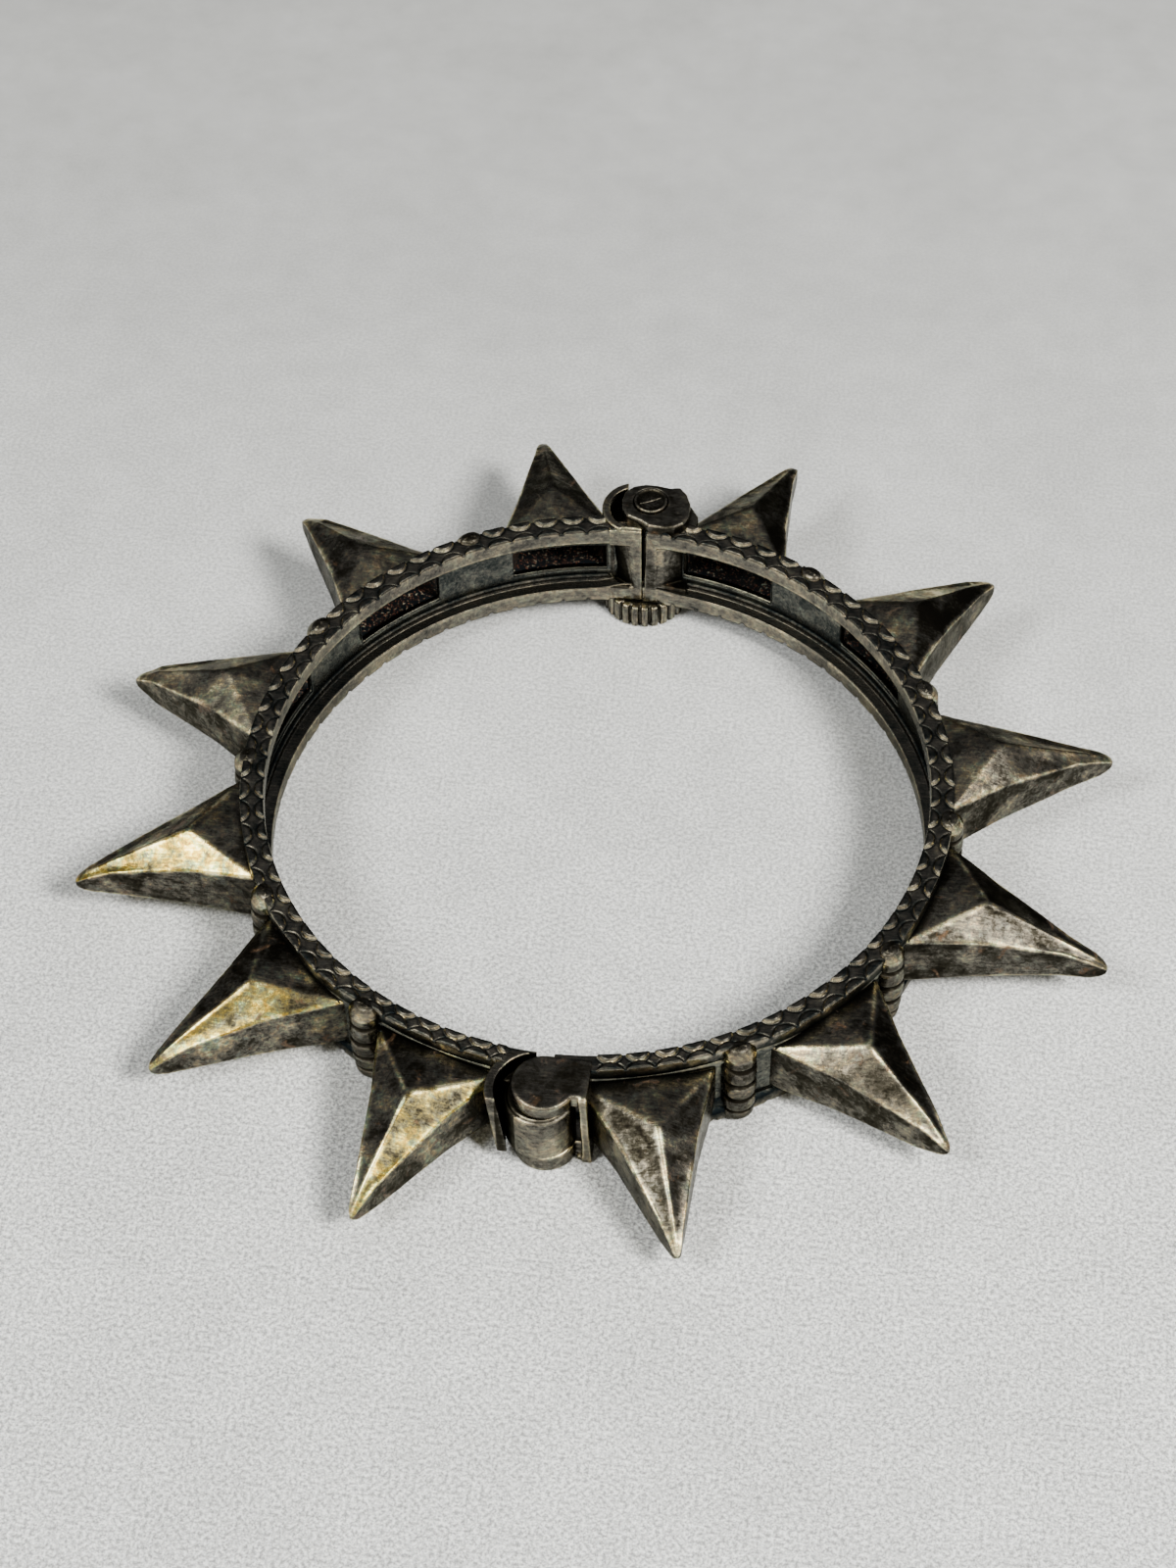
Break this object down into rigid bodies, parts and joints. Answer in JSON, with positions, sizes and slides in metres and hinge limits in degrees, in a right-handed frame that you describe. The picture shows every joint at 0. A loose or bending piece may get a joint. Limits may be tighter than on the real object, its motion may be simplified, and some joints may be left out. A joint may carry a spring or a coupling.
{
  "type": "spiked bangle",
  "caption": "Hinged bangle of oxidised silver with long faceted hollow spikes, ribbed posts between them, scalloped flanges and a screw-pin clasp with a ribbed knob.",
  "frame": {"origin": "centre of the wrist opening, in the plane of the knob's foot, which is the lowest point", "axes": "+Z along the ring's axis, away from the knob; +Y towards the clasp, -Y towards the hinge; +X towards the half that carries the clasp screw"},
  "size_m": [0.0921, 0.091, 0.0135],
  "materials": {
    "silver": "oxidised, worn bright on the ridges",
    "pin_silver": "dull",
    "knob_silver": "oxidised in the grooves, worn on the ribs"
  },
  "bodies": {
    "left": {"left_half": "silver"},
    "right": {"right_half": "silver", "hinge_pin": "pin_silver"},
    "screw": {"clasp_screw": "knob_silver"}
  },
  "joints": [
    {"name": "hinge", "type": "hinge", "parent": "left", "child": "right", "pos_m": [0, -0.0331, 0.0077], "axis": [0, 0, -1], "range_deg": [0, 60]},
    {"name": "clasp_screw_slide", "type": "slide", "parent": "right", "child": "screw", "axis": [0, 0, -1], "range_m": [0, 0.0105]}
  ]
}
